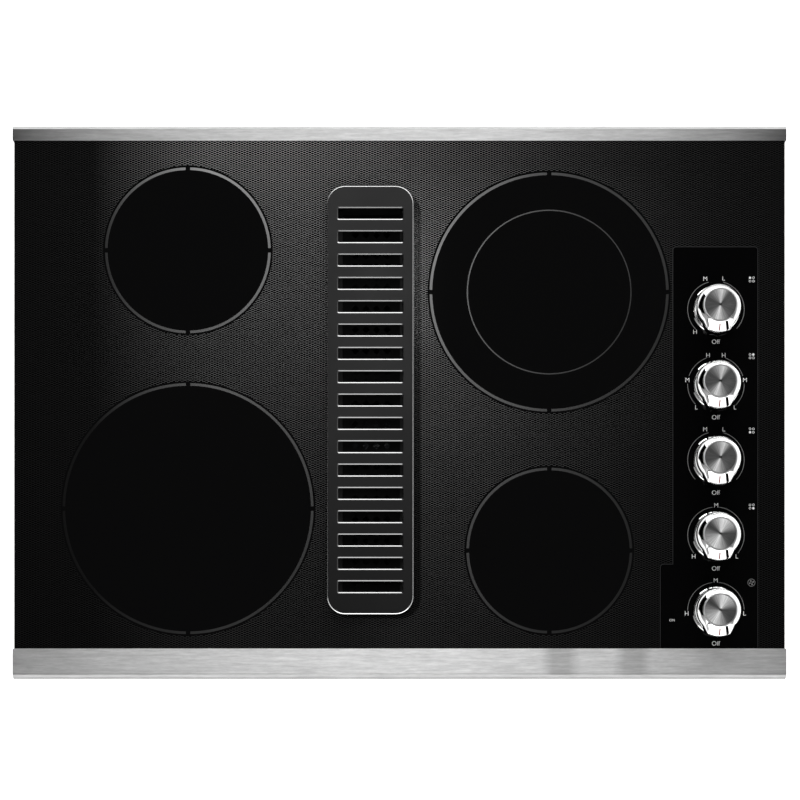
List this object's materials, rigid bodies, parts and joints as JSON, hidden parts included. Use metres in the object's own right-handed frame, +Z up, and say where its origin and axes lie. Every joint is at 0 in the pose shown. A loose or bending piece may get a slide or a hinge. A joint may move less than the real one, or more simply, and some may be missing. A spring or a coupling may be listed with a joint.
{
  "type": "downdraft cooktop",
  "caption": "Black glass electric cooktop with a central vent grille, push-and-turn knobs, burner box, filter chamber, overflow jar and side-mounted blower.",
  "frame": {"origin": "centre of the countertop cut-out, on the countertop's top face", "axes": "+X right, +Y to the rear (away from the cook), +Z up"},
  "size_m": [0.783, 0.56, 0.4719],
  "materials": {
    "black_glass": "polished glass-ceramic with a fine printed dot pattern",
    "brushed_trim": "brushed along its length",
    "foam_seal": "closed-cell foam",
    "silicone_seal": "satin",
    "aluminised_sheet": "aluminised sheet, dull",
    "bracket_sheet": "galvanised sheet",
    "chrome_ring": "polished",
    "lamp_lens": "translucent lens",
    "terminal_plastic": "moulded",
    "zinc_plate": "zinc plated",
    "zinc_screw": "zinc plated",
    "spring_steel": "blued",
    "pan_sheet": "pressed aluminised sheet",
    "ceramic_fibre": "rough pressed fibre",
    "heater_ribbon": "oxidised alloy ribbon",
    "limiter_ceramic": "glazed",
    "switch_plastic": "moulded",
    "charcoal_grille": "fine satin charcoal",
    "filter_aluminium": "mill finish",
    "filter_mesh_metal": "expanded mesh",
    "chamber_sheet": "galvanised, spangled",
    "socket_plastic": "moulded",
    "jar_plastic": "clear moulded",
    "blower_sheet": "powder coated",
    "wheel_metal": "formed blades",
    "motor_paint": "baked enamel",
    "shaft_steel": "ground",
    "collar_sheet": "galvanised",
    "flap_aluminium": "mill finish",
    "knob_chrome": "polished",
    "spun_cap": "spun brushed"
  },
  "bodies": {
    "cooktop": {"glass_top": "black_glass", "front_trim": "brushed_trim", "rear_trim": "brushed_trim", "countertop_seal": "foam_seal", "glass_seal": "silicone_seal", "burner_box": "aluminised_sheet", "control_bracket": "bracket_sheet", "knob_bezels": "chrome_ring", "indicator_lamps": "lamp_lens", "terminal_block": "terminal_plastic", "junction_cover": "bracket_sheet", "clamp_brackets": "zinc_plate", "element_rails": "bracket_sheet", "element_springs": "spring_steel", "element_pan_small": "pan_sheet", "element_pan_large": "pan_sheet", "element_pan_dual": "pan_sheet", "element_insulation": "ceramic_fibre", "heater_small": "heater_ribbon", "heater_large": "heater_ribbon", "heater_dual": "heater_ribbon", "limiter_rods": "limiter_ceramic", "heat_switches": "switch_plastic", "fan_switch": "switch_plastic", "plenum": "chamber_sheet", "jar_socket": "socket_plastic", "blower_scroll": "blower_sheet", "blower_cover": "blower_sheet", "motor_housing": "motor_paint", "motor_bearings": "shaft_steel", "duct_collar": "collar_sheet", "screws": "zinc_screw"},
    "grille": {"vent_grille": "charcoal_grille"},
    "filter": {"filter_frame": "filter_aluminium", "filter_mesh": "filter_mesh_metal"},
    "wheel": {"impeller": "wheel_metal", "motor_rotor": "shaft_steel"},
    "flap": {"damper_flap": "flap_aluminium"},
    "jar": {"overflow_jar": "jar_plastic"},
    "clamp_left": {"clamp_screw_left": "zinc_screw"},
    "clamp_right": {"clamp_screw_right": "zinc_screw"},
    "seat_1": {"spring_seat_1": "spring_steel"},
    "seat_2": {"spring_seat_2": "spring_steel"},
    "seat_3": {"spring_seat_3": "spring_steel"},
    "seat_4": {"spring_seat_4": "spring_steel"},
    "knob_1_body": {"knob_1": "knob_chrome", "knob_cap_1": "spun_cap", "shaft_1": "shaft_steel"},
    "knob_2_body": {"knob_2": "knob_chrome", "knob_cap_2": "spun_cap", "shaft_2": "shaft_steel"},
    "knob_3_body": {"knob_3": "knob_chrome", "knob_cap_3": "spun_cap", "shaft_3": "shaft_steel"},
    "knob_4_body": {"knob_4": "knob_chrome", "knob_cap_4": "spun_cap", "shaft_4": "shaft_steel"},
    "knob_5_body": {"knob_5": "knob_chrome", "knob_cap_5": "spun_cap", "shaft_5": "shaft_steel"}
  },
  "joints": [
    {"name": "grille_lift", "type": "slide", "parent": "cooktop", "child": "grille", "axis": [0, 0, 1], "range_m": [0, 0.2]},
    {"name": "filter_lift", "type": "slide", "parent": "cooktop", "child": "filter", "axis": [0, 0, 1], "range_m": [0, 0.12]},
    {"name": "blower_spin", "type": "hinge", "parent": "cooktop", "child": "wheel", "pos_m": [0.0477, 0, -0.25], "axis": [1, 0, 0], "continuous": true},
    {"name": "damper_swing", "type": "hinge", "parent": "cooktop", "child": "flap", "pos_m": [0.0487, 0.1388, -0.2892], "axis": [1, 0, 0], "range_deg": [0, 72]},
    {"name": "jar_drop", "type": "slide", "parent": "cooktop", "child": "jar", "axis": [0, 0, -1], "range_m": [0, 0.09]},
    {"name": "clamp_left_travel", "type": "slide", "parent": "cooktop", "child": "clamp_left", "axis": [0, 0, 1], "range_m": [-0.01, 0.02]},
    {"name": "clamp_right_travel", "type": "slide", "parent": "cooktop", "child": "clamp_right", "axis": [0, 0, 1], "range_m": [-0.01, 0.02]},
    {"name": "knob_1_push", "type": "slide", "parent": "cooktop", "child": "seat_1", "axis": [0, 0, -1], "range_m": [0, 0.0025], "stiffness_N_per_m": 700, "springref_m": -0.003},
    {"name": "knob_1_turn", "type": "hinge", "parent": "seat_1", "child": "knob_1_body", "pos_m": [0.3203, 0.0942, 0.0075], "axis": [0, 0, 1], "range_deg": [-315, 0]},
    {"name": "knob_2_push", "type": "slide", "parent": "cooktop", "child": "seat_2", "axis": [0, 0, -1], "range_m": [0, 0.0025], "stiffness_N_per_m": 700, "springref_m": -0.003},
    {"name": "knob_2_turn", "type": "hinge", "parent": "seat_2", "child": "knob_2_body", "pos_m": [0.3203, 0.018, 0.0075], "axis": [0, 0, 1], "range_deg": [-168, 168]},
    {"name": "knob_3_push", "type": "slide", "parent": "cooktop", "child": "seat_3", "axis": [0, 0, -1], "range_m": [0, 0.0025], "stiffness_N_per_m": 700, "springref_m": -0.003},
    {"name": "knob_3_turn", "type": "hinge", "parent": "seat_3", "child": "knob_3_body", "pos_m": [0.3203, -0.0582, 0.0075], "axis": [0, 0, 1], "range_deg": [-315, 0]},
    {"name": "knob_4_push", "type": "slide", "parent": "cooktop", "child": "seat_4", "axis": [0, 0, -1], "range_m": [0, 0.0025], "stiffness_N_per_m": 700, "springref_m": -0.003},
    {"name": "knob_4_turn", "type": "hinge", "parent": "seat_4", "child": "knob_4_body", "pos_m": [0.3203, -0.1344, 0.0075], "axis": [0, 0, 1], "range_deg": [-315, 0]},
    {"name": "knob_5_turn", "type": "hinge", "parent": "cooktop", "child": "knob_5_body", "pos_m": [0.3203, -0.2106, 0.0075], "axis": [0, 0, 1], "range_deg": [-276, 0]}
  ],
  "couplings": [
    {"joint": "filter_lift", "follows": "grille_lift", "ratio": 0.6}
  ]
}
